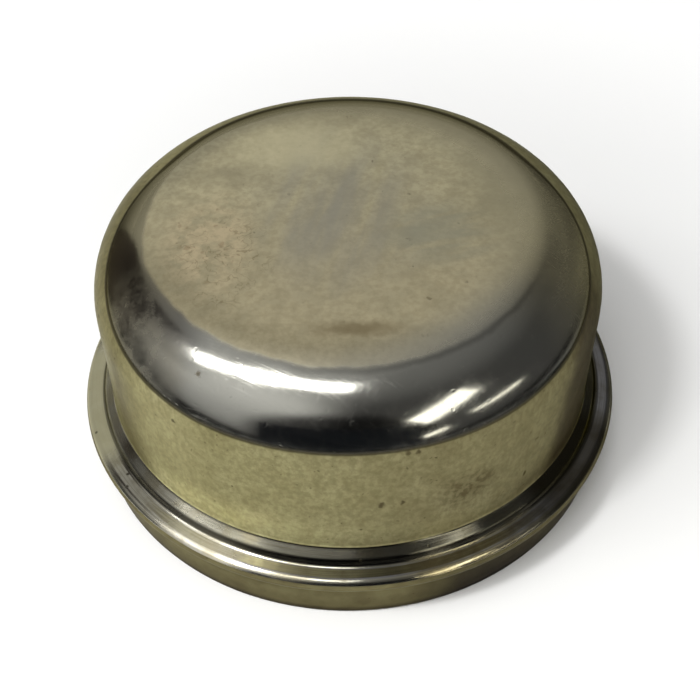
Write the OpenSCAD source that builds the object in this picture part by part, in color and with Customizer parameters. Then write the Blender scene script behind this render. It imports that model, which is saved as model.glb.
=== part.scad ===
// Press-in dust cap for a wheel hub, drawn from one disc of plated steel sheet.
// It stands on its open edge: Z is the axis, the closed end is at the top.

/* [Sheet] */
// Thickness of the steel sheet
sheet_t = 0.9; // [0.6:0.05:1.2]

/* [Skirt] */
// Outer diameter of the skirt, which is pressed into the hub
skirt_d = 62; // [50:0.1:90]
// Height of the lip's underside above the open edge
skirt_h = 5.25; // [3:0.05:12]
// Radius on the outer corner of the open edge, which leads the skirt in
lead_r = 0.4; // [0.1:0.05:0.5]
// Inside radius of the bend between the skirt and the lip
skirt_bend_r = 0.15; // [0.1:0.05:0.6]

/* [Folded lip] */
// Width of the flat seat under the lip
seat_w = 0.1; // [0.05:0.05:3]
// Gap left between the two layers of the fold
fold_gap = 0.2; // [0.1:0.05:0.4]
// Width of the flat on top of the lip
lip_flat = 0.75; // [0.3:0.05:1.3]
// Fall of the lip's top towards its rim, in degrees
lip_slope = 2; // [0:0.5:8]

/* [Shoulder] */
// Height of the step that the press left inside the lip
step_h = 0.75; // [0.6:0.05:1.6]
// Slope of the step's face, in degrees
step_slope = 63; // [55:1:71]
// Radius of the hollow at the step's foot
foot_bend_r = 0.6; // [0.2:0.05:0.8]
// Inside radius of the bend at the step's crest
crest_bend_r = 0.15; // [0.1:0.05:0.25]
// Slope of the shoulder between the step and the wall, in degrees
shoulder_slope = 36; // [30:1:44]
// Inside radius of the bend between the shoulder and the wall
wall_bend_r = 0.6; // [0.2:0.05:0.8]

/* [Body] */
// How far the wall is set in from the outside of the skirt
wall_inset = 2.35; // [2:0.05:10]
// Overall height
cap_h = 31.2; // [26:0.1:70]
// Outer radius of the corner between the wall and the closed end
corner_r = 8.8; // [3:0.1:14]
// Radius of the slightly domed closed end
crown_r = 650; // [200:10:3000]

/* [Hidden] */

// Largest angle between two points on a bend, and the sides of the round preview
bend_step = 7.5;
turn_fn = 144;

skirt_r = skirt_d / 2;
wall_r = skirt_r - wall_inset;

// A bend that is hollow outside has its inside radius on the outer skin, as a negative radius.
// One that bulges outside has it on the inner skin, one sheet thickness deeper.
fold_r = fold_gap / 2 + sheet_t;
crest_r = crest_bend_r + sheet_t;

// The fold's centre: the seat and the skirt's bend lie between it and the skirt
fold_x = skirt_r + skirt_bend_r + seat_w;
fold_z = skirt_h + fold_r;

// Corners of the outer skin, where straight legs would meet without their bends
lip_normal = 90 - lip_slope;
step_normal = 90 - step_slope;
shoulder_normal = 90 - shoulder_slope;
foot_x = fold_x - lip_flat - foot_bend_r * tan((lip_normal - step_normal) / 2);
foot_z = fold_z + fold_r / cos(lip_slope) + (fold_x - foot_x) * tan(lip_slope);
crest_x = foot_x - step_h / tan(step_slope);
crest_z = foot_z + step_h;
root_z = crest_z + (crest_x - wall_r) * tan(shoulder_slope);

// The crown's arc and the corner's arc touch at this angle from the axis
crown_edge = asin((wall_r - corner_r) / (crown_r - corner_r));
corner_z = cap_h - crown_r + (crown_r - corner_r) * cos(crown_edge);

// Unit vector at an angle in the section's plane
function toward(angle) = [cos(angle), sin(angle)];

// Bend with its centre given: [centre, signed outer radius, first normal, last normal]
function bend(centre, r, from, to) = [centre, r, from, to];

// Bend that rounds a corner between legs whose outward normals point along from and to
function bend_at(corner, r, from, to) =
    bend(corner - r * (toward(from) + toward(to)) / (1 + cos(to - from)), r, from, to);

// Points along a bend, at a depth below the outer skin
function bend_points(b, depth) =
    let (steps = max(3, ceil(abs(b[3] - b[2]) / bend_step)))
    [for (i = [0:steps]) b[0] + (b[1] - depth) * toward(b[2] + (b[3] - b[2]) * i / steps)];

// The sheet's bends, from the middle of the closed end out and down to the skirt
bends = [
    bend([0, cap_h - crown_r], crown_r, 90, 90 - crown_edge),
    bend([wall_r - corner_r, corner_z], corner_r, 90 - crown_edge, 0),
    bend_at([wall_r, root_z], -wall_bend_r, 0, shoulder_normal),
    bend_at([crest_x, crest_z], crest_r, shoulder_normal, step_normal),
    bend_at([foot_x, foot_z], -foot_bend_r, step_normal, lip_normal),
    bend([fold_x, fold_z], fold_r, lip_normal, -90),
    bend_at([skirt_r, skirt_h], -skirt_bend_r, -90, 0)
];

// Whole skin at a depth below the outside: the legs are the straight runs between the bends
function skin(depth) = [for (b = bends) each bend_points(b, depth)];

function reversed(points) = [for (i = [len(points) - 1:-1:0]) points[i]];

// Open edge: its outer corner is rounded and its inner corner is cut square
open_edge = concat(
    bend_points(bend([skirt_r - lead_r, lead_r], lead_r, 0, -90), 0),
    [[skirt_r - sheet_t, 0]]
);

// One sheet of even thickness, folded double at the lip and turned round the axis
module dust_cap() {
    color([0.62, 0.60, 0.50])
        rotate_extrude($fn = turn_fn)
            polygon(concat(skin(0), open_edge, reversed(skin(sheet_t))));
}

dust_cap();
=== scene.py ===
# Press-in dust cap for a wheel hub: one drawn sheet of bright plated steel, dulled by tarnish and handling.
import math

import bmesh
import bpy
from mathutils import Matrix, Vector, noise


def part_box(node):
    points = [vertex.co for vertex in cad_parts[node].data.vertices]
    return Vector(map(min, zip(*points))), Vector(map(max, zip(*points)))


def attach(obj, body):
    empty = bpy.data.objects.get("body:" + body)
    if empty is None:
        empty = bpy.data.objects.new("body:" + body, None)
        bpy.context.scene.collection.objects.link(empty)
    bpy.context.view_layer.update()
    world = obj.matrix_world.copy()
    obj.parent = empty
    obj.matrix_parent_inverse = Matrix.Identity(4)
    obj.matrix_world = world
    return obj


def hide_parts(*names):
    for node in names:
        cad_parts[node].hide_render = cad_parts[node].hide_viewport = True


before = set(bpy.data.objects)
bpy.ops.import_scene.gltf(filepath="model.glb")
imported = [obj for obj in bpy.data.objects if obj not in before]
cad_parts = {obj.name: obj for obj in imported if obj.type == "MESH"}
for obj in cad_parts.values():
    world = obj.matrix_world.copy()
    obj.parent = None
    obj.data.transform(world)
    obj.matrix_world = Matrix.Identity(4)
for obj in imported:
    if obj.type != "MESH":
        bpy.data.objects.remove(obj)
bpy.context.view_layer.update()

# One millimetre in scene units
MM = 0.001

# Sizes of the sheet and its bends, in millimetres
SHEET_T = 0.9
FOLD_GAP = 0.2
SKIRT_BEND_R = 0.15
SEAT_W = 0.1
SKIRT_H = 5.25
LEAD_R = 0.4
BURR_R = 0.12
LIP_FLAT = 0.75
LIP_SLOPE = 2
STEP_H = 0.75
STEP_SLOPE = 63
FOOT_BEND_R = 0.6
CREST_BEND_R = 0.15
SHOULDER_SLOPE = 36
WALL_BEND_R = 0.6
WALL_INSET = 2.35
CORNER_R = 8.8
CROWN_R = 650

# Fineness of the turned mesh: steps round the axis, largest step on a bend in degrees,
# and longest ring on a leg in mm
TURN_STEPS = 288
BEND_STEP = 6
LEG_STEP = 1.6

# Sizes that follow from the frame: the rim is the widest ring and the closed end is the top
low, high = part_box("dust_cap")
RIM_R = (high[0] - low[0]) / 2 / MM
CAP_H = high[2] / MM
FOLD_R = FOLD_GAP / 2 + SHEET_T
FOLD_X = RIM_R - FOLD_R
FOLD_Z = SKIRT_H + FOLD_R
SKIRT_R = FOLD_X - SEAT_W - SKIRT_BEND_R
WALL_R = SKIRT_R - WALL_INSET


# The sheet's section

def toward(angle):
    """Unit vector at an angle, in degrees, in the section's plane of radius and height."""
    return Vector((math.cos(math.radians(angle)), math.sin(math.radians(angle))))


def bend_at(corner, radius, start, end):
    """Bend that rounds a corner between legs whose outward normals are start and end, in degrees."""
    turn = math.radians(end - start)
    centre = Vector(corner) - radius * (toward(start) + toward(end)) / (1 + math.cos(turn))
    return centre, radius, start, end


def sheet_bends():
    """Bends of the outer skin from the middle of the closed end down to the skirt.

    Each has its centre, its radius, negative where the skin is hollow, and the angles of its two normals.
    """
    lip_normal, step_normal, shoulder_normal = 90 - LIP_SLOPE, 90 - STEP_SLOPE, 90 - SHOULDER_SLOPE
    lip_fall = math.tan(math.radians(LIP_SLOPE))
    foot_x = FOLD_X - LIP_FLAT - FOOT_BEND_R * math.tan(math.radians((lip_normal - step_normal) / 2))
    foot_z = FOLD_Z + FOLD_R / math.cos(math.radians(LIP_SLOPE)) + (FOLD_X - foot_x) * lip_fall
    crest_x = foot_x - STEP_H / math.tan(math.radians(STEP_SLOPE))
    crest_z = foot_z + STEP_H
    root_z = crest_z + (crest_x - WALL_R) * math.tan(math.radians(SHOULDER_SLOPE))
    crown_edge = math.degrees(math.asin((WALL_R - CORNER_R) / (CROWN_R - CORNER_R)))
    corner_z = CAP_H - CROWN_R + (CROWN_R - CORNER_R) * math.cos(math.radians(crown_edge))
    return [
        (Vector((0, CAP_H - CROWN_R)), CROWN_R, 90, 90 - crown_edge),
        (Vector((WALL_R - CORNER_R, corner_z)), CORNER_R, 90 - crown_edge, 0),
        bend_at((WALL_R, root_z), -WALL_BEND_R, 0, shoulder_normal),
        bend_at((crest_x, crest_z), CREST_BEND_R + SHEET_T, shoulder_normal, step_normal),
        bend_at((foot_x, foot_z), -FOOT_BEND_R, step_normal, lip_normal),
        (Vector((FOLD_X, FOLD_Z)), FOLD_R, lip_normal, -90),
        bend_at((SKIRT_R, SKIRT_H), -SKIRT_BEND_R, -90, 0),
    ]


def edge_bends():
    """The two small bends round the open edge."""
    inner_r = SKIRT_R - SHEET_T
    return [
        (Vector((SKIRT_R - LEAD_R, LEAD_R)), LEAD_R, 0, -90),
        (Vector((inner_r + BURR_R, BURR_R)), BURR_R, -90, -180),
    ]


def inner_bends():
    """The same bends one sheet thickness deeper, from the skirt back up to the closed end."""
    return [(centre, radius - SHEET_T, end, start) for centre, radius, start, end in reversed(sheet_bends())]


def draw_leg(bm, last, end):
    """Grows the section's wire in a straight leg from its last point to the leg's end."""
    leg = Vector((end.x, 0, end.y)) - last.co
    steps = max(1, math.ceil(leg.length / LEG_STEP))
    for _ in range(steps):
        last = bmesh.ops.extrude_vert_indiv(bm, verts=[last])["verts"][0]
        bmesh.ops.translate(bm, verts=[last], vec=leg / steps)
    return last


def draw_bend(bm, last, bend):
    """Goes on with the section's wire by a leg to the bend's start and an arc round its centre."""
    centre, radius, start, end = bend
    corner = centre + radius * toward(start)
    last = draw_leg(bm, last, corner) if last else bm.verts.new((corner.x, 0, corner.y))
    arc = abs(radius) * math.radians(abs(end - start))
    steps = max(3, math.ceil(abs(end - start) / BEND_STEP), math.ceil(arc / LEG_STEP))
    made = bmesh.ops.spin(
        bm, geom=[last], cent=(centre.x, 0, centre.y), axis=(0, 1, 0),
        angle=math.radians(start - end), steps=steps,
    )
    return next(part for part in made["geom_last"] if isinstance(part, bmesh.types.BMVert))


def turn_round(bm, steps):
    """Turns a wire once round the axis."""
    bmesh.ops.spin(
        bm, geom=bm.verts[:] + bm.edges[:], cent=(0, 0, 0), axis=(0, 0, 1),
        angle=math.tau, steps=steps, use_merge=True,
    )


# Unevenness of the pressed sheet: how deep it sinks and how broad each wave is, in mm
BROAD_WAVE = 0.045
BROAD_WAVE_SIZE = 10
FINE_WAVE = 0.008
FINE_WAVE_SIZE = 2.4
# The sheet doesn't sink nearer to the axis than this, in mm
SUNK_FROM = 1
# Both ends stay this far inside the solid, in mm, so that rounding can't carry the mesh past it
END_CLEARANCE = 0.002
# Points closer than this, in mm, become one where the two skins meet
JOIN_DISTANCE = 0.0005


def sunk(point):
    """How far the sheet has sunk at a point, in mm: never outwards, so that it stays inside the solid."""
    broad = noise.noise(point / BROAD_WAVE_SIZE) * 0.5 + 0.5
    fine = noise.noise(point / FINE_WAVE_SIZE) * 0.5 + 0.5
    return BROAD_WAVE * broad + FINE_WAVE * fine


# Heights of the outer skin's band with lathe grooves, from the rim's crown up to the wall's foot
LIP_BAND = (6.7, 8.85)
# Places in the piece's list of materials
OUTSIDE, INSIDE, GROOVED = 0, 1, 2


def turned_skin(bends, tail, material, band_material):
    """One skin: its section drawn as a wire, with a last leg to the tail, and turned round the axis."""
    bm = bmesh.new()
    last = None
    for bend in bends:
        last = draw_bend(bm, last, bend)
    if tail:
        draw_leg(bm, last, tail)
    turn_round(bm, TURN_STEPS)
    for face in bm.faces:
        in_band = LIP_BAND[0] < face.calc_center_median().z < LIP_BAND[1]
        face.material_index = band_material if in_band else material
    skin = bpy.data.meshes.new("skin")
    bm.to_mesh(skin)
    bm.free()
    return skin


def dust_cap():
    """The whole cap: the outer skin down to the open edge, joined there to the inner skin going back up."""
    lead_in, burr = edge_bends()
    burr_start = burr[0] + burr[1] * toward(burr[2])
    bm = bmesh.new()
    for skin in (
        turned_skin(sheet_bends() + [lead_in], burr_start, OUTSIDE, GROOVED),
        turned_skin([burr] + inner_bends(), None, INSIDE, INSIDE),
    ):
        bm.from_mesh(skin)
        bpy.data.meshes.remove(skin)
    bmesh.ops.remove_doubles(bm, verts=bm.verts[:], dist=JOIN_DISTANCE)
    return bm


def finish_piece(name, bm, materials):
    """Presses the unevenness in, brings the mesh to metres and makes an object of it at the origin."""
    bmesh.ops.recalc_face_normals(bm, faces=bm.faces[:])
    for vert in bm.verts:
        side = Vector((vert.co.x, vert.co.y, 0))
        if side.length > SUNK_FROM:
            vert.co -= side.normalized() * sunk(vert.co)
        vert.co.z += END_CLEARANCE * (1 - 2 * vert.co.z / CAP_H)
    for face in bm.faces:
        face.smooth = True
    bmesh.ops.scale(bm, vec=(MM, MM, MM), verts=bm.verts[:])
    mesh = bpy.data.meshes.new(name)
    bm.to_mesh(mesh)
    bm.free()
    for material in materials:
        mesh.materials.append(material)
    piece = bpy.data.objects.new(name, mesh)
    bpy.context.scene.collection.objects.link(piece)
    return piece


# Camera: angles in degrees, distance and the point it looks at in mm

CAMERA_ELEVATION = 45.4
CAMERA_ROLL = -0.785
CAMERA_DISTANCE = 138.7
CAMERA_AIM = (0.12, 0, 9.31)
CAMERA_LENS = 58.25


def photo_camera():
    """Camera at the photograph's place: close above the front, looking down at the closed end."""
    elevation, roll = math.radians(CAMERA_ELEVATION), math.radians(CAMERA_ROLL)
    ahead = Vector((0, math.cos(elevation), -math.sin(elevation)))
    level, up = Vector((1, 0, 0)), Vector((0, math.sin(elevation), math.cos(elevation)))
    right = math.cos(roll) * level + math.sin(roll) * up
    top = -math.sin(roll) * level + math.cos(roll) * up
    place = (Vector(CAMERA_AIM) - CAMERA_DISTANCE * ahead) * MM
    turn = Matrix((right, top, -ahead)).transposed().to_4x4()
    data = bpy.data.cameras.new("photo_camera")
    data.lens = CAMERA_LENS
    data.clip_start, data.clip_end = 1 * MM, 10
    camera = bpy.data.objects.new("photo_camera", data)
    camera.matrix_world = Matrix.Translation(place) @ turn
    bpy.context.scene.collection.objects.link(camera)
    bpy.context.scene.camera = camera


# Shader nodes

def feed(tree, socket, value):
    """Links a socket to another one, or sets it to a value."""
    if isinstance(value, bpy.types.NodeSocket):
        tree.links.new(value, socket)
    else:
        socket.default_value = value


def add(tree, kind, inputs=None, **settings):
    """A node with its settings and its inputs."""
    node = tree.nodes.new(kind)
    for name, value in settings.items():
        setattr(node, name, value)
    for key, value in (inputs or {}).items():
        feed(tree, node.inputs[key], value)
    return node


def calc(tree, operation, a, b=0.0):
    """Result of one sum on two values."""
    return add(tree, "ShaderNodeMath", {0: a, 1: b}, operation=operation).outputs[0]


def share(tree, mask, amount):
    """Part of a mask."""
    return calc(tree, "MULTIPLY", mask, amount)


def overlap(tree, first, *others):
    """Mask that holds where all the given ones do."""
    for mask in others:
        first = calc(tree, "MULTIPLY", first, mask)
    return first


def largest(tree, first, *others):
    """Mask that holds where any of the given ones does."""
    for mask in others:
        first = calc(tree, "MAXIMUM", first, mask)
    return first


def weighed(tree, base, *terms):
    """A base value plus masks, each times its own amount."""
    for mask, amount in terms:
        base = calc(tree, "ADD", base, share(tree, mask, amount))
    return base


def vector_calc(tree, operation, a, b=(0, 0, 0)):
    """Result of one sum on two vectors."""
    return add(tree, "ShaderNodeVectorMath", {0: a, 1: b}, operation=operation).outputs["Vector"]


def scaled(tree, a, factor):
    """A vector times a number."""
    node = add(tree, "ShaderNodeVectorMath", {0: a, "Scale": factor}, operation="SCALE")
    return node.outputs["Vector"]


def vector_length(tree, a):
    """Length of a vector."""
    return add(tree, "ShaderNodeVectorMath", {0: a}, operation="LENGTH").outputs["Value"]


def split(tree, a):
    """The three parts of a vector, by their letters."""
    return add(tree, "ShaderNodeSeparateXYZ", {"Vector": a}).outputs


def joined(tree, **parts):
    """Vector from its parts, 0 where none is given."""
    return add(tree, "ShaderNodeCombineXYZ", parts).outputs["Vector"]


def axis_distance(tree, place):
    """Distance of a place from the cap's axis."""
    parts = split(tree, place)
    return vector_length(tree, joined(tree, X=parts["X"], Y=parts["Y"]))


def soft_noise(tree, place, scale, detail, output="Fac", **inputs):
    """Soft noise over a place, about 0 to 1."""
    inputs.update({"Vector": place, "Scale": scale, "Detail": detail})
    return add(tree, "ShaderNodeTexNoise", inputs).outputs[output]


def fade(tree, value, start, end, low=0.0, high=1.0):
    """Smooth change from low to high while a value goes from start to end."""
    inputs = {"Value": value, "From Min": start, "From Max": end, "To Min": low, "To Max": high}
    node = add(tree, "ShaderNodeMapRange", inputs, interpolation_type="SMOOTHSTEP")
    return node.outputs["Result"]


def tint(red, green, blue):
    """Colour from its screen values, 0 to 255, as the shader's own linear values."""
    linear = [((c / 255 + 0.055) / 1.055) ** 2.4 if c > 10 else c / 255 / 12.92 for c in (red, green, blue)]
    return (*linear, 1)


def blend(tree, mask, first, second, mode="MIX"):
    """Colour that goes from the first to the second as the mask goes from 0 to 1."""
    node = add(tree, "ShaderNodeMix", data_type="RGBA", blend_type=mode)
    for key, value in (("Factor_Float", mask), ("A_Color", first), ("B_Color", second)):
        feed(tree, next(s for s in node.inputs if s.identifier == key), value)
    return next(s for s in node.outputs if s.identifier == "Result_Color")


def stained(tree, colour, mask, amount, stain):
    """Colour under a stain, given by its screen values, which covers the amount where the mask is 1."""
    return blend(tree, share(tree, mask, amount), colour, tint(*stain))


def toned(tree, colour, mask, factors):
    """Colour times three factors where the mask is 1."""
    return blend(tree, mask, colour, (*factors, 1), "MULTIPLY")


def raise_relief(tree, surface, relief, strength, depth):
    """Gives a surface its relief, with its depth in mm."""
    bump = add(tree, "ShaderNodeBump", {"Height": relief, "Strength": strength, "Distance": depth * MM})
    tree.links.new(bump.outputs["Normal"], surface.inputs["Normal"])


# Effects that the materials share, each a node group with one output

def effect(name, inputs, output):
    """Empty node group: its tree, its inputs by name and its output. An input without a value is a vector."""
    tree = bpy.data.node_groups.new(name, "ShaderNodeTree")
    for socket, value in inputs.items():
        kind = "NodeSocketVector" if value is None else "NodeSocketFloat"
        made = tree.interface.new_socket(name=socket, in_out="INPUT", socket_type=kind)
        if value is not None:
            made.default_value = value
    tree.interface.new_socket(name=output, in_out="OUTPUT", socket_type="NodeSocketFloat")
    given = tree.nodes.new("NodeGroupInput").outputs
    return tree, given, tree.nodes.new("NodeGroupOutput").inputs[output]


def use(tree, group, **inputs):
    """Places an effect in a material with its own values."""
    return add(tree, "ShaderNodeGroup", inputs, node_tree=group).outputs[0]


def stain_effect():
    """Cloudy stain: a mask of soft patches of one size."""
    inputs = {"Place": None, "Size": 5.0, "Low": 0.45, "High": 0.65, "Detail": 4.0}
    tree, given, made = effect("cloudy_stain", inputs, "Mask")
    scale = calc(tree, "DIVIDE", 1.0, given["Size"])
    clouds = soft_noise(tree, given["Place"], scale, given["Detail"], Roughness=0.6)
    tree.links.new(fade(tree, clouds, given["Low"], given["High"]), made)
    return tree


def pit_effect():
    """Corrosion pits: small round spots at some of the places of a scattered grid."""
    inputs = {"Place": None, "Spacing": 1.0, "Radius": 0.2, "Share": 0.3}
    tree, given, made = effect("pits", inputs, "Mask")
    scale = calc(tree, "DIVIDE", 1.0, given["Spacing"])
    cell = add(tree, "ShaderNodeTexVoronoi", {"Vector": given["Place"], "Scale": scale})
    draw = add(tree, "ShaderNodeSeparateColor", {"Color": cell.outputs["Color"]}).outputs
    reach = overlap(tree, given["Radius"], scale, draw["Green"])
    spot = fade(tree, cell.outputs["Distance"], reach, share(tree, reach, 0.4))
    chosen = calc(tree, "LESS_THAN", draw["Red"], given["Share"])
    tree.links.new(overlap(tree, spot, chosen), made)
    return tree


def scratch_effect():
    """Fine scratches along one direction: thin broken lines."""
    inputs = {"Place": None, "Angle": 0.0, "Width": 0.2, "Length": 12.0, "Low": 0.55, "High": 0.7}
    tree, given, made = effect("scratches", inputs, "Mask")
    turn = {"Vector": given["Place"], "Axis": (0, 0, 1), "Angle": given["Angle"]}
    parts = split(tree, add(tree, "ShaderNodeVectorRotate", turn).outputs["Vector"])
    along = calc(tree, "DIVIDE", parts["X"], given["Length"])
    across = calc(tree, "DIVIDE", parts["Y"], given["Width"])
    place = joined(tree, X=along, Y=across, Z=parts["Z"])
    lines = soft_noise(tree, place, 1.0, 3.0, Roughness=0.55)
    tree.links.new(fade(tree, lines, given["Low"], given["High"]), made)
    return tree


def grain_effect():
    """Drawing grain: fine lines that run up the wall, from pulling the sheet through the die."""
    tree, given, made = effect("drawn_grain", {"Place": None, "Width": 0.3, "Length": 5.0}, "Height")
    parts = split(tree, given["Place"])
    sizes = {"X": given["Width"], "Y": given["Width"], "Z": given["Length"]}
    place = joined(tree, **{key: calc(tree, "DIVIDE", parts[key], size) for key, size in sizes.items()})
    tree.links.new(soft_noise(tree, place, 1.0, 4.0, Roughness=0.6), made)
    return tree


# How often the grooves' noise changes round the axis
GROOVE_BREAKS = 5.0


def groove_effect():
    """Lathe grooves: fine lines round the axis, broken here and there."""
    tree, given, made = effect("lathe_grooves", {"Place": None, "Width": 0.1}, "Height")
    parts = split(tree, given["Place"])
    flat = joined(tree, X=parts["X"], Y=parts["Y"])
    round_axis = scaled(tree, vector_calc(tree, "NORMALIZE", flat), GROOVE_BREAKS)
    across = calc(tree, "SUBTRACT", vector_length(tree, flat), parts["Z"])
    lift = joined(tree, Z=calc(tree, "DIVIDE", across, given["Width"]))
    place = vector_calc(tree, "ADD", round_axis, lift)
    tree.links.new(soft_noise(tree, place, 1.0, 2.0, Roughness=0.5), made)
    return tree


STAIN, PITS, SCRATCHES = stain_effect(), pit_effect(), scratch_effect()
GRAIN, GROOVES = grain_effect(), groove_effect()


def cloud(tree, place, size, low, high, detail=4.0):
    """Cloudy stain over a place: a higher low or high makes its patches fewer."""
    return use(tree, STAIN, Place=place, Size=size, Low=low, High=high, Detail=detail)


def pits(tree, place, spacing, radius, part):
    """Pits over a place, on a part of the grid's places."""
    return use(tree, PITS, Place=place, Spacing=spacing, Radius=radius, Share=part)


def scratches(tree, place, angle, width, run, low, high):
    """Scratches over a place, of one angle, width and length."""
    return use(tree, SCRATCHES, Place=place, Angle=angle, Width=width, Length=run, Low=low, High=high)


def patch(tree, place, centre, reach, edge=0.45):
    """Mask of one patch: 1 round its centre and 0 beyond its reach along each axis."""
    away = vector_calc(tree, "DIVIDE", vector_calc(tree, "SUBTRACT", place, centre), reach)
    return fade(tree, vector_length(tree, away), 1.0, edge)


def uneven(tree, place, size, amount):
    """The place on the part, shifted a little by soft noise, so that patches get uneven edges."""
    shift = soft_noise(tree, place, 1.0 / size, 3.0, "Color")
    shift = scaled(tree, vector_calc(tree, "SUBTRACT", shift, (0.5, 0.5, 0.5)), amount)
    return vector_calc(tree, "ADD", place, shift)


# Materials of the cap; places are in mm, X to the right, Y to the back and Z up

# Larger pits and knocks on the wall and on the corner: centre and reach
WALL_MARKS = (
    ((5.6, -28.0, 23.6), 0.50),
    ((6.5, -27.8, 23.5), 0.50),
    ((3.2, -28.5, 15.9), 0.55),
    ((5.1, -28.2, 15.8), 0.40),
    ((-17.9, -22.4, 22.2), 0.40),
    ((-14.5, -21.8, 28.2), 0.40),
    ((-2.4, -28.6, 10.4), 0.40),
    ((8.4, -27.4, 19.5), 0.35),
    ((5.5, -28.1, 21.2), 0.30),
    ((1.0, -28.6, 12.0), 0.30),
    ((-1.0, -28.6, 12.9), 0.22),
    ((-19.7, -20.8, 16.1), 0.25),
    ((-11.9, -26.1, 16.1), 0.22),
    ((8.4, -27.4, 21.8), 0.25),
    ((18.8, -21.6, 12.2), 0.45),
)

# Radius of the sharp edge of the closed end's dull finish
END_EDGE = 22.0


def material_base(name):
    """Empty material: its tree, its surface shader and the place on the part in mm."""
    material = bpy.data.materials.new(name)
    material.use_nodes = True
    tree = material.node_tree
    coords = add(tree, "ShaderNodeTexCoord").outputs["Object"]
    return material, tree, tree.nodes["Principled BSDF"], scaled(tree, coords, 1 / MM)


class CapPlaces:
    """Places on the cap's outside, its zones and the clouds that its colours share.

    The wall's finish ends where the floor's horizon is reflected, higher up the corner at the back. The
    closed end is dull nearly up to the corner, with a sharp edge at the left and in front and a soft one at
    the right and behind.
    """

    def __init__(self, tree, place):
        parts = split(tree, place)
        self.place, self.side, self.depth, self.height = place, parts["X"], parts["Y"], parts["Z"]
        self.radius = axis_distance(tree, place)
        self.shifted = uneven(tree, place, 4.0, 3.0)
        self.ragged = uneven(tree, place, 1.5, 1.6)
        self.broad = cloud(tree, place, 11.0, 0.36, 0.64)
        self.middle = cloud(tree, place, 2.6, 0.36, 0.66, 5.0)
        self.fine = cloud(tree, place, 0.7, 0.36, 0.66)

        horizon_edge = fade(tree, self.depth, -28.0, 12.0, 24.0, 30.5)
        over_edge = calc(tree, "SUBTRACT", self.height, horizon_edge)
        self.on_top = fade(tree, over_edge, -0.3, 0.3)
        self.wall_zone = calc(tree, "SUBTRACT", 1.0, self.on_top)
        wavy = uneven(tree, place, 5.0, 1.2)
        sharp = axis_distance(tree, vector_calc(tree, "ADD", wavy, (0.3, 1.4, 0)))
        soft = axis_distance(tree, vector_calc(tree, "ADD", place, (3.5, 2.5, 0)))
        inside_sharp = fade(tree, sharp, END_EDGE, END_EDGE - 0.7)
        self.end_zone = overlap(tree, inside_sharp, fade(tree, soft, 26.5, 17.0), self.on_top)
        self.bright_zone = calc(tree, "SUBTRACT", self.on_top, self.end_zone)

        # A painted reflection of the horizon as a dark line along the wall's edge, and a dark line along the
        # closed end's edge
        line_width = fade(tree, self.depth, -24.0, 6.0, 0.45, 0.20)
        off_line = calc(tree, "DIVIDE", calc(tree, "ABSOLUTE", over_edge), line_width)
        self.painted_horizon_line = fade(tree, off_line, 1.0, 0.35)
        off_ring = calc(tree, "ABSOLUTE", calc(tree, "SUBTRACT", sharp, END_EDGE - 0.1))
        self.end_line = overlap(
            tree, fade(tree, off_ring, 0.55, 0.0),
            fade(tree, self.side, -12.0, 0.0), fade(tree, self.depth, -8.0, -16.0),
        )

        # Smears and haze on the bright corner, pits in the closed end's stain and the wall's grain
        self.haze = patch(tree, self.shifted, (-20, -17, 27), (7, 9, 6))
        smears = largest(tree, share(tree, self.middle, 0.9), share(tree, self.fine, 0.6))
        self.smeared = overlap(tree, patch(tree, self.shifted, (-21, -15, 27), (7, 10, 7), 0.3), smears)
        self.warm_haze = patch(tree, self.shifted, (23, -3, 28), (9, 17, 6), 0.2)
        self.stain_pits = overlap(
            tree, pits(tree, self.ragged, 0.8, 0.45, 0.5),
            patch(tree, self.shifted, (-14.5, -4.5, 31), (6.5, 11, 9)),
        )
        self.grain = use(tree, GRAIN, Place=self.ragged, Width=0.5, Length=3.0)


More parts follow.
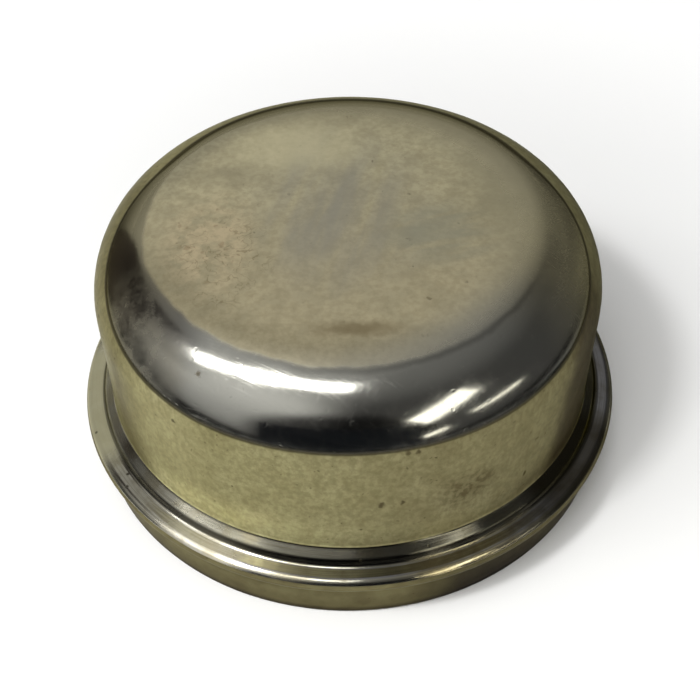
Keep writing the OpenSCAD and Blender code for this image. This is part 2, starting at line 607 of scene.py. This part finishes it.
def closed_end_colour(tree, at):
    """Mottled tan, with bluish scuffs, a paler pitted stain at the left and a brown one in front."""
    colour = blend(tree, fade(tree, at.depth, -14.0, 12.0), tint(171, 161, 131), tint(187, 179, 146))
    colour = stained(tree, colour, at.broad, 0.35, (158, 150, 122))
    colour = stained(tree, colour, at.middle, 0.45, (144, 137, 112))
    colour = stained(tree, colour, at.fine, 0.40, (138, 128, 100))

    scuffs = scratches(tree, at.place, -1.3, 3.6, 22.0, 0.24, 0.74)
    scuffs = overlap(tree, scuffs, patch(tree, at.shifted, (-1, 1, 31), (12, 19, 9), 0.25))
    colour = stained(tree, colour, scuffs, 0.85, (137, 134, 122))
    right_scuffs = scratches(tree, at.place, -0.25, 2.4, 14.0, 0.35, 0.62)
    right_scuffs = overlap(tree, right_scuffs, patch(tree, at.place, (10, -4, 31), (9, 8, 9), 0.2))
    colour = stained(tree, colour, right_scuffs, 0.6, (136, 135, 118))
    dark_cloud = patch(tree, at.shifted, (-13, 6.5, 31), (5.5, 4.5, 9), 0.1)
    colour = stained(tree, colour, dark_cloud, 0.45, (136, 129, 106))

    pale_stain = overlap(
        tree, patch(tree, at.shifted, (-14.5, -5, 31), (6.5, 11, 9), 0.2),
        fade(tree, at.middle, 1.0, 0.2), fade(tree, at.fine, 0.0, 1.0, 1.0, 0.5),
    )
    colour = stained(tree, colour, pale_stain, 0.65, (188, 170, 138))
    colour = stained(tree, colour, at.stain_pits, 0.40, (120, 100, 72))
    crackle = soft_noise(tree, at.ragged, 0.5, 2.0, Distortion=0.3)
    crackle = fade(tree, calc(tree, "ABSOLUTE", calc(tree, "SUBTRACT", crackle, 0.52)), 0.016, 0.004)
    crackle = overlap(tree, crackle, patch(tree, at.shifted, (-13, -8, 31), (7, 10, 9), 0.4))
    colour = stained(tree, colour, crackle, 0.45, (108, 94, 66))

    pale_back = patch(tree, at.shifted, (-6, 12, 31), (11, 8, 9), 0.1)
    colour = stained(tree, colour, pale_back, 0.6, (196, 188, 154))
    dull_right = patch(tree, at.shifted, (17, 3, 31), (7, 12, 9), 0.1)
    colour = stained(tree, colour, dull_right, 0.5, (136, 130, 104))
    # Painted shade along the rim of the closed end at the back, the right and in front
    back_rim_shade = overlap(tree, fade(tree, at.radius, 17.6, 20.6), fade(tree, at.depth, 1.0, 9.0))
    colour = toned(tree, colour, back_rim_shade, (0.74, 0.75, 0.78))
    right_rim_shade = overlap(tree, fade(tree, at.radius, 18.4, 21.0), fade(tree, at.side, 12.0, 18.0))
    colour = toned(tree, colour, right_rim_shade, (0.72, 0.72, 0.72))
    front_rim_shade = overlap(tree, fade(tree, at.radius, 18.0, 21.5), fade(tree, at.depth, -2.0, -12.0))
    colour = toned(tree, colour, front_rim_shade, (0.74, 0.74, 0.73))
    front_stain = patch(tree, at.ragged, (1, -18.4, 31), (7, 1.6, 9), 0.1)
    return stained(tree, colour, front_stain, 0.75, (112, 100, 74))


def corner_colour(tree, at):
    """Bright plating, warmer towards the sides and the back, with a brown haze and smears at the left."""
    colour = blend(tree, fade(tree, at.depth, -20.0, -8.0), tint(170, 169, 160), tint(170, 163, 136))
    colour = stained(tree, colour, at.haze, 0.4, (140, 132, 112))
    colour = stained(tree, colour, at.smeared, 0.42, (112, 107, 90))
    # Painted dark reflection at the left of the corner
    painted_dark_reflection = overlap(
        tree, fade(tree, at.side, -12.5, -17.0), fade(tree, at.depth, -2.0, -9.0),
        fade(tree, at.height, 27.8, 29.8),
    )
    colour = toned(tree, colour, painted_dark_reflection, (0.50, 0.50, 0.52))
    colour = stained(tree, colour, at.warm_haze, 0.45, (156, 149, 112))
    pale_right = overlap(
        tree, fade(tree, at.side, 21.0, 25.0), fade(tree, at.depth, -16.0, -5.0),
        fade(tree, at.height, 29.8, 28.4),
    )
    return toned(tree, colour, pale_right, (1.60, 1.60, 1.50))


def wall_colour(tree, at):
    """Olive, mottled, grained, brown-stained; painted light at the foot; darker to the right, partly painted
    shade.
    """
    colour = stained(tree, tint(155, 150, 111), at.broad, 0.40, (136, 130, 88))
    colour = stained(tree, colour, at.middle, 0.42, (126, 118, 82))
    colour = stained(tree, colour, at.fine, 0.50, (108, 101, 68))
    colour = stained(tree, colour, fade(tree, at.grain, 0.42, 0.6), 0.25, (112, 106, 72))
    brown = patch(tree, at.shifted, (12.3, -26, 15.6), (5, 5, 4.5), 0.1)
    brown = overlap(tree, brown, fade(tree, at.fine, 0.0, 1.0, 0.5, 1.2))
    left_streak = patch(tree, at.shifted, (-25, -14, 17), (2.2, 3, 9), 0.3)
    stains = largest(tree, share(tree, brown, 0.75), share(tree, left_streak, 0.5))
    colour = blend(tree, stains, colour, tint(88, 78, 50))

    in_front = fade(tree, at.depth, -3.0, -12.0)
    # Painted shade: the wall darker towards the right in front, away from the key's light
    painted_shade_right = overlap(tree, fade(tree, at.side, -9.0, 10.0), in_front)
    colour = toned(tree, colour, painted_shade_right, (0.78, 0.765, 0.80))
    # Painted light: the wall paler at its foot in front
    painted_light_foot = overlap(
        tree, fade(tree, at.height, 14.5, 9.3), fade(tree, at.depth, -16.0, -21.0),
        fade(tree, at.side, -12.0, 4.0, 1.0, 0.5),
    )
    colour = toned(tree, colour, painted_light_foot, (1.75, 1.78, 1.8))
    left_pale = overlap(tree, fade(tree, at.side, -14.0, -18.0), fade(tree, at.side, -24.0, -21.5))
    colour = toned(tree, colour, left_pale, (1.18, 1.18, 1.22))
    colour = toned(tree, colour, fade(tree, at.side, -21.5, -24.0), (0.8, 0.78, 0.76))
    low_right = overlap(tree, fade(tree, at.height, 13.5, 9.5), fade(tree, at.side, 13.0, 21.0))
    colour = toned(tree, colour, low_right, (0.68, 0.65, 0.62))
    # Painted reflection of the floor's shadow: the wall much darker right of a sloping line in front
    shadow_reflection_edge = weighed(tree, 21.2, (at.height, 0.09))
    past_edge = calc(tree, "SUBTRACT", split(tree, at.ragged)["X"], shadow_reflection_edge)
    shadow_reflection = overlap(tree, fade(tree, past_edge, -1.4, 1.0), in_front)
    return toned(tree, colour, shadow_reflection, (0.42, 0.385, 0.36))


def skirt_colour(tree, at):
    """Darker olive, a painted reflection of the floor's shadow at the right, and dark along the open edge."""
    colour = stained(tree, tint(112, 106, 76), at.middle, 0.6, (88, 80, 54))
    # Painted reflection of the floor's shadow: the skirt darker at the right
    skirt_shadow_reflection = overlap(
        tree, fade(tree, at.side, 4.0, 13.0), fade(tree, at.side, 23.0, 17.0, 0.7, 1.0),
        fade(tree, at.height, 5.6, 3.6, 0.55, 1.0),
    )
    colour = toned(tree, colour, skirt_shadow_reflection, (0.24, 0.22, 0.20))
    colour = toned(tree, colour, fade(tree, at.height, 3.2, 1.4), (0.72, 0.70, 0.66))
    return toned(tree, colour, fade(tree, at.height, 1.2, 0.5), (0.40, 0.38, 0.36))


def dark_marks(tree, at):
    """Pits and dark specks, fewer on the corner and the closed end, and the larger marks one by one."""
    small = pits(tree, at.ragged, 0.6, 0.24, 0.30)
    small = overlap(tree, small, fade(tree, at.end_zone, 0.0, 1.0, 1.0, 0.25))
    specks = share(tree, largest(tree, pits(tree, at.ragged, 1.3, 0.34, 0.16), small), 0.6)
    marks = overlap(
        tree, specks, fade(tree, at.middle, 0.2, 0.9, 0.25, 1.1),
        fade(tree, at.bright_zone, 0.0, 1.0, 1.0, 0.25),
    )
    for centre, reach in WALL_MARKS:
        marks = largest(tree, marks, patch(tree, at.ragged, centre, (reach, reach, reach), 0.3))
    return marks


def plated_steel():
    """Outside: dull stained closed end, bright corner, satin wall with drawing grain, dirty skirt."""
    material, tree, surface, place = material_base("plated_steel")
    surface.inputs["Specular Tint"].default_value = tint(168, 164, 126)
    surface.inputs["Specular IOR Level"].default_value = 0.2
    at = CapPlaces(tree, place)
    marks = dark_marks(tree, at)
    colour = blend(tree, fade(tree, at.height, 7.2, 6.8), wall_colour(tree, at), skirt_colour(tree, at))
    colour = blend(tree, at.on_top, colour, corner_colour(tree, at))
    colour = blend(tree, at.end_zone, colour, closed_end_colour(tree, at))
    colour = stained(tree, colour, marks, 0.8, (62, 52, 32))
    # Painted reflection of the horizon as a dark line along the wall's edge
    colour = stained(tree, colour, at.painted_horizon_line, 0.8, (44, 38, 24))
    colour = stained(tree, colour, at.end_line, 0.35, (60, 56, 44))
    tree.links.new(colour, surface.inputs["Base Color"])

    # Plating shows as metal on the corner, and half as dull dirt on the closed end and the wall
    film = largest(tree, share(tree, at.smeared, 0.2), share(tree, at.warm_haze, 0.12))
    film = overlap(tree, film, at.bright_zone)
    metal = weighed(tree, 1.0, (at.wall_zone, -0.50), (at.end_zone, -0.45), (marks, -0.3), (film, -1.0))
    tree.links.new(metal, surface.inputs["Metallic"])

    # Roughness by zone, with fine scratches and smudges on the bright corner
    scratched = overlap(
        tree,
        largest(
            tree, scratches(tree, place, 0.5, 0.10, 6.0, 0.56, 0.70),
            scratches(tree, place, -0.9, 0.12, 5.0, 0.58, 0.72),
        ),
        fade(tree, at.side, -22.0, -12.0, 0.35, 1.0), at.on_top,
    )
    smudges = largest(
        tree, share(tree, at.haze, 0.08), share(tree, at.smeared, 0.20), share(tree, at.warm_haze, 0.14),
    )
    rough = weighed(
        tree, fade(tree, at.end_zone, 0.0, 1.0, 0.12, 0.40), (at.wall_zone, 0.25),
        (overlap(tree, smudges, at.bright_zone), 1.0), (scratched, 0.08), (at.middle, 0.04), (marks, 0.25),
    )
    tree.links.new(rough, surface.inputs["Roughness"])

    # Relief: a faint waviness of the plating, grain on the wall, scratches and pits
    peel = soft_noise(tree, place, 1.4, 3.0)
    corner_pits = overlap(tree, pits(tree, at.ragged, 0.75, 0.32, 0.5), at.on_top)
    relief = weighed(
        tree, share(tree, peel, 0.4), (overlap(tree, at.grain, at.wall_zone), 1.2), (scratched, -0.10),
        (marks, -1.2), (corner_pits, -0.6), (overlap(tree, at.stain_pits, at.end_zone), -0.6),
    )
    raise_relief(tree, surface, relief, 0.6, 0.012)
    return material


def grooved_steel():
    """Shoulder and lip: darker bright steel with lathe grooves round the axis, which stretch highlights."""
    material, tree, surface, place = material_base("grooved_steel")
    surface.inputs["Anisotropic"].default_value = 0.9
    surface.inputs["Anisotropic Rotation"].default_value = 0.25
    surface.inputs["Specular Tint"].default_value = tint(196, 192, 160)
    surface.inputs["Specular IOR Level"].default_value = 0.2
    round_axis = add(tree, "ShaderNodeTangent", direction_type="RADIAL", axis="Z").outputs["Tangent"]
    tree.links.new(round_axis, surface.inputs["Tangent"])
    parts = split(tree, place)
    side, height = parts["X"], parts["Z"]
    shifted = uneven(tree, place, 3.0, 3.0)
    grooves = use(tree, GROOVES, Place=place, Width=0.12)
    dirt = cloud(tree, place, 3.0, 0.40, 0.64)
    specks = pits(tree, place, 0.9, 0.28, 0.15)
    colour = stained(tree, tint(160, 157, 143), dirt, 0.6, (124, 117, 94))
    colour = stained(tree, colour, fade(tree, grooves, 0.45, 0.62), 0.35, (100, 94, 72))

    # The shoulder is dark and the lip's top bluish; painted highlights brighten the lip at both sides of the
    # front
    shoulder = overlap(tree, fade(tree, height, 7.5, 7.9), fade(tree, side, -19.0, -11.0, 0.1, 1.0))
    colour = toned(tree, colour, shoulder, (0.42, 0.42, 0.40))
    lip_top = overlap(tree, fade(tree, height, 7.16, 7.22), fade(tree, height, 7.36, 7.28))
    lip_top = overlap(tree, lip_top, fade(tree, side, -17.0, -11.0))
    colour = toned(tree, colour, lip_top, (0.66, 0.68, 0.84))
    on_lip = fade(tree, height, 7.6, 7.35)
    # Painted highlights on the lip at the left and the right of the front
    painted_highlight_left = overlap(tree, fade(tree, side, -25.0, -19.0), fade(tree, side, -4.0, -11.0), on_lip)
    colour = toned(tree, colour, painted_highlight_left, (1.55, 1.55, 1.6))
    painted_highlight_right = overlap(tree, fade(tree, side, 4.0, 9.0), fade(tree, side, 20.0, 14.0), on_lip)
    colour = toned(tree, colour, painted_highlight_right, (1.6, 1.5, 1.2))

    # Dull and pale at the left, painted reflection of shade at the right, darker in the step and at the
    # wall's foot
    dull_left = patch(tree, shifted, (-30, -6, 7.6), (8, 14, 9), 0.5)
    dull_left = overlap(tree, dull_left, fade(tree, height, 7.9, 7.4, 0.25, 1.0))
    colour = stained(tree, colour, dull_left, 0.8, (168, 164, 134))
    # Painted reflection of shade: the lip dark at the right
    lip_shadow_reflection = patch(tree, shifted, (25.5, -17, 7.6), (9, 10, 9), 0.6)
    colour = stained(tree, colour, lip_shadow_reflection, 0.75, (52, 46, 30))
    in_step = overlap(tree, fade(tree, height, 7.34, 7.46), fade(tree, height, 8.12, 7.9))
    colour = stained(tree, colour, in_step, 0.7, (38, 35, 28))
    colour = stained(tree, colour, fade(tree, height, 8.6, 8.85), 0.3, (70, 64, 44))
    colour = stained(tree, colour, specks, 0.7, (52, 46, 32))
    tree.links.new(colour, surface.inputs["Base Color"])
    tree.links.new(weighed(tree, 1.0, (dull_left, -0.5)), surface.inputs["Metallic"])
    scored = patch(tree, shifted, (-17, -26.5, 7.2), (8, 6, 3), 0.3)
    rough = weighed(tree, 0.15, (dirt, 0.07), (dull_left, 0.15), (scored, 0.16), (specks, 0.2))
    tree.links.new(rough, surface.inputs["Roughness"])
    raise_relief(tree, surface, weighed(tree, grooves, (specks, -0.8)), 0.5, 0.016)
    return material


def inner_steel():
    """Inside of the cap: the same sheet, duller and greyer, with cloudy grease stains."""
    material, tree, surface, place = material_base("inner_steel")
    surface.inputs["Metallic"].default_value = 1.0
    grease = cloud(tree, place, 7.0, 0.35, 0.65, 5.0)
    colour = blend(tree, grease, tint(158, 154, 138), tint(120, 110, 86))
    tree.links.new(colour, surface.inputs["Base Color"])
    tree.links.new(fade(tree, grease, 0.0, 1.0, 0.38, 0.55), surface.inputs["Roughness"])
    return material


# Floor, backdrop, reflection cards and lamps; sizes in mm

FLOOR_R = 700
SWEEP_R = 120
BACKDROP_H = 330
CARD_RING_R = 100
CARD_RING_H = 60
CARD_HOLE_R = 32.5
CARD_LIFT = 0.4
STAGE_STEPS = 96

# The floor's change to white: where it starts and ends, from the axis, and how strong its glow is
WHITE_FROM = 45
WHITE_AT = 125
WHITE_GLOW = 0.28

# What the cards and lamps face: the middle of the closed end
TARGET = Vector((0, 0, 25))

# Distance of the small lamps and of the two black cards from the target
NEAR_LAMP = 92
FRONT_CARD = 90
LEFT_CARD = 94

# Lamps: azimuth and elevation of both ends, distance, width, radiance and colour
LAMPS = {
    "strip_lamp": ((-77.5, 38.4), (1.4, 59.7), 330, 60, 8.0, (1, 1, 1)),
    "key_lamp": ((-58, 52.8), (-45, 57.2), 310, 34, 80.0, (1, 1, 1)),
    "right_lamp": ((22, 7), (44, 21.5), NEAR_LAMP, 16, 4.0, (1.0, 0.98, 0.9)),
    "right_low_lamp": ((41.4, 0.3), (60.9, 3.2), NEAR_LAMP, 3, 4.0, (1.0, 0.97, 0.86)),
    "front_low_lamp": ((23.8, -9.9), (31.7, -6.2), NEAR_LAMP, 4, 4.0, (1.0, 0.97, 0.86)),
}


def plain_material(name, colour, glow=0.0):
    """Matt colour for the stage, or a colour that gives its own light."""
    material = bpy.data.materials.new(name)
    material.use_nodes = True
    surface = material.node_tree.nodes["Principled BSDF"]
    surface.inputs["Base Color"].default_value = colour
    surface.inputs["Roughness"].default_value = 1.0
    surface.inputs["Specular IOR Level"].default_value = 0.0
    surface.inputs["Emission Color"].default_value = colour
    surface.inputs["Emission Strength"].default_value = glow
    return material


def stage_object(name, bm, material):
    """An object of the stage from a mesh in millimetres."""
    bmesh.ops.scale(bm, vec=(MM, MM, MM), verts=bm.verts[:])
    mesh = bpy.data.meshes.new(name)
    bm.to_mesh(mesh)
    bm.free()
    mesh.materials.append(material)
    obj = bpy.data.objects.new(name, mesh)
    bpy.context.scene.collection.objects.link(obj)
    return obj


def reflection_card(name, bm, material):
    """Object of the stage that the metal mirrors, while neither the camera nor the lamps see it."""
    obj = stage_object(name, bm, material)
    obj.visible_camera = False
    obj.visible_diffuse = False
    obj.visible_shadow = False
    obj.visible_transmission = False
    return obj


def floor_material():
    """Pale floor that turns to white away from the object, and keeps the object's shadow near it."""
    material = plain_material("pale_floor", tint(250, 250, 249))
    tree = material.node_tree
    coords = add(tree, "ShaderNodeTexCoord").outputs["Object"]
    ray = add(tree, "ShaderNodeLightPath").outputs
    seen = largest(tree, ray["Is Camera Ray"], ray["Is Glossy Ray"], ray["Is Transmission Ray"])
    white = fade(tree, vector_length(tree, coords), WHITE_FROM * MM, WHITE_AT * MM, 0.0, WHITE_GLOW)
    tree.links.new(overlap(tree, seen, white), tree.nodes["Principled BSDF"].inputs["Emission Strength"])
    return material


def floor_and_backdrop():
    """Pale floor that sweeps up into a low backdrop all round."""
    bm = bmesh.new()
    middle = bm.verts.new((0, 0, 0))
    sweep = (Vector((FLOOR_R, SWEEP_R)), -SWEEP_R, 90, 0)
    foot = draw_bend(bm, middle, sweep)
    draw_leg(bm, foot, Vector((FLOOR_R + SWEEP_R, BACKDROP_H)))
    turn_round(bm, STAGE_STEPS)
    bmesh.ops.remove_doubles(bm, verts=bm.verts[:], dist=0.01)
    bmesh.ops.recalc_face_normals(bm, faces=bm.faces[:])
    for face in bm.faces:
        face.smooth = True
    return stage_object("floor", bm, floor_material())


def direction(azimuth, elevation):
    """Unit vector towards a place round the set: azimuth 0 is the front, 90 the right-hand side."""
    a, e = math.radians(azimuth), math.radians(elevation)
    return Vector((math.sin(a) * math.cos(e), -math.cos(a) * math.cos(e), math.sin(e)))


def lobe(tree, towards, azimuth, elevation, inner, outer):
    """Round soft patch of the room: 1 within the inner angle of its middle and 0 beyond the outer angle."""
    inputs = {0: towards, 1: direction(azimuth, elevation)}
    nearness = add(tree, "ShaderNodeVectorMath", inputs, operation="DOT_PRODUCT").outputs["Value"]
    return fade(tree, nearness, math.cos(math.radians(outer)), math.cos(math.radians(inner)))


def room_effect():
    """How bright the room is in a direction.

    It is dim at the right and low down, and lighter overhead, behind and at the left, with a glow at the
    left of the front and a shade low in the middle of the front.
    """
    tree, given, made = effect("room_light", {"Direction": None}, "Level")
    towards = given["Direction"]
    parts = split(tree, towards)
    to_right = weighed(tree, parts["X"], (parts["Y"], -0.3))
    light = fade(tree, parts["Z"], 0.02, 0.68, 0.14, 0.60)
    dim = fade(tree, parts["Z"], 0.55, 1.0, 0.09, 0.27)
    change = calc(tree, "SUBTRACT", dim, light)
    glow = lobe(tree, towards, -43, 20, 8, 42)
    level = weighed(tree, light, (fade(tree, to_right, -0.15, 0.35), change), (glow, 0.50))
    shade = lobe(tree, towards, -2, -4, 22, 40)
    tree.links.new(overlap(tree, level, fade(tree, shade, 0.0, 1.0, 1.0, 0.12)), made)
    return tree


ROOM = room_effect()


def grey(tree, level):
    """Grey of one level."""
    return add(tree, "ShaderNodeCombineColor", {"Red": level, "Green": level, "Blue": level}).outputs["Color"]


def card_ring():
    """Low ring round the set that carries the room's light down to the floor, with a sloping black line."""
    bm = bmesh.new()
    bmesh.ops.create_cone(
        bm, cap_ends=False, segments=STAGE_STEPS, radius1=CARD_RING_R, radius2=CARD_RING_R, depth=CARD_RING_H,
        matrix=Matrix.Translation((0, 0, CARD_RING_H / 2)),
    )
    material, tree, surface, place = material_base("card_ring")
    parts = split(tree, place)
    # The room's light is read in the direction in which the cap's corner sees the ring
    seen_from_cap = vector_calc(tree, "MULTIPLY", place, (0.74, 0.74, 1.0))
    seen_from_cap = vector_calc(tree, "SUBTRACT", seen_from_cap, (0, 0, 26))
    room_level = use(tree, ROOM, Direction=vector_calc(tree, "NORMALIZE", seen_from_cap))
    line = weighed(tree, 14.0, (parts["Y"], 18.0 / CARD_RING_R))
    over_line = calc(tree, "SUBTRACT", parts["Z"], line)
    above = fade(tree, over_line, 2.0, 8.0)
    below = overlap(tree, fade(tree, over_line, -3.0, -7.0), fade(tree, parts["X"], -10.0, 60.0, 0.6, 0.2))
    level = weighed(tree, fade(tree, above, 0.0, 1.0, 0.02, 0.0), (room_level, above), (below, 1.0))
    surface.inputs["Base Color"].default_value = (0, 0, 0, 1)
    surface.inputs["Specular IOR Level"].default_value = 0.0
    surface.inputs["Emission Strength"].default_value = 1.0
    tree.links.new(grey(tree, level), surface.inputs["Emission Color"])
    return reflection_card("card_ring", bm, material)


def floor_card():
    """Dark card on the floor: in front, fading out towards the object, and close by in the key's shadow."""
    bm = bmesh.new()
    start, end = bm.verts.new((CARD_HOLE_R, 0, CARD_LIFT)), bm.verts.new((CARD_RING_R, 0, CARD_LIFT))
    bm.edges.new((start, end))
    turn_round(bm, STAGE_STEPS)
    material, tree, surface, place = material_base("floor_card")
    parts = split(tree, place)
    side, depth = parts["X"], parts["Y"]
    dense = overlap(tree, fade(tree, axis_distance(tree, place), 68.0, 86.0), fade(tree, depth, 25.0, -15.0))
    # Painted shadow for reflections: the card dark close by where the key's shadow falls
    off_shadow = weighed(tree, share(tree, depth, 0.791), (side, -0.611))
    shadow = overlap(
        tree, fade(tree, off_shadow, -35.0, -29.0), fade(tree, off_shadow, 40.0, 28.0),
        fade(tree, side, 8.0, 22.0),
    )
    surface.inputs["Base Color"].default_value = (0.01, 0.01, 0.01, 1)
    surface.inputs["Specular IOR Level"].default_value = 0.0
    tree.links.new(largest(tree, dense, share(tree, shadow, 0.85)), surface.inputs["Alpha"])
    return reflection_card("floor_card", bm, material)


def from_target(azimuth, elevation, distance):
    """Point at a distance from the closed end."""
    return TARGET + direction(azimuth, elevation) * distance


def facing(start, end):
    """Place and turn of a flat thing that runs from start to end with its face towards the closed end."""
    middle = (start + end) / 2
    along = (end - start).normalized()
    face = (TARGET - middle).normalized()
    across = face.cross(along).normalized()
    face = along.cross(across).normalized()
    return Matrix.Translation(middle * MM) @ Matrix((along, across, face)).transposed().to_4x4()


def card(name, corners, distance, colour):
    """Black card that shows only in reflections, with its corners at the given azimuths and elevations."""
    bm = bmesh.new()
    bm.faces.new([bm.verts.new(from_target(*corner, distance)) for corner in corners])
    return reflection_card(name, bm, plain_material(name, colour, 1.0))


def lamp(name, start, end, width, radiance, colour):
    """Soft rectangular lamp from start to end, as bright as its radiance says."""
    data = bpy.data.lights.new(name, "AREA")
    data.shape = "RECTANGLE"
    data.size, data.size_y = (end - start).length * MM, width * MM
    data.energy = radiance * math.pi * data.size * data.size_y
    data.color = colour
    obj = bpy.data.objects.new(name, data)
    obj.matrix_world = facing(start, end) @ Matrix.Rotation(math.pi, 4, "X")
    obj.visible_camera = False
    bpy.context.scene.collection.objects.link(obj)
    return obj


def room():
    """Light of the room from every side."""
    world = bpy.data.worlds.new("room")
    bpy.context.scene.world = world
    world.use_nodes = True
    tree = world.node_tree
    tree.nodes.clear()
    level = use(tree, ROOM, Direction=add(tree, "ShaderNodeTexCoord").outputs["Generated"])
    background = add(tree, "ShaderNodeBackground", {"Color": grey(tree, level), "Strength": 1.0})
    output = tree.nodes.new("ShaderNodeOutputWorld")
    tree.links.new(background.outputs["Background"], output.inputs["Surface"])


def light_the_set():
    """Large lamps at the left, small ones low at the right, and black cards in front and at the left."""
    for name, (start, end, distance, width, radiance, colour) in LAMPS.items():
        lamp(name, from_target(*start, distance), from_target(*end, distance), width, radiance, colour)
    front = ((-30, -16), (24, -16), (24, 6), (-8, 8), (-30, 4))
    card("front_card", front, FRONT_CARD, (0.006, 0.007, 0.009, 1))
    left = ((-127, -3), (-89, -3.5), (-85, 42), (-125, 27))
    card("left_card", left, LEFT_CARD, (0.045, 0.04, 0.042, 1))


bpy.context.scene.view_settings.view_transform = "Standard"
photo_camera()
cap = finish_piece("cap_sheet", dust_cap(), [plated_steel(), inner_steel(), grooved_steel()])
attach(cap, "root")
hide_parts("dust_cap")
floor_and_backdrop()
card_ring()
floor_card()
room()
light_the_set()
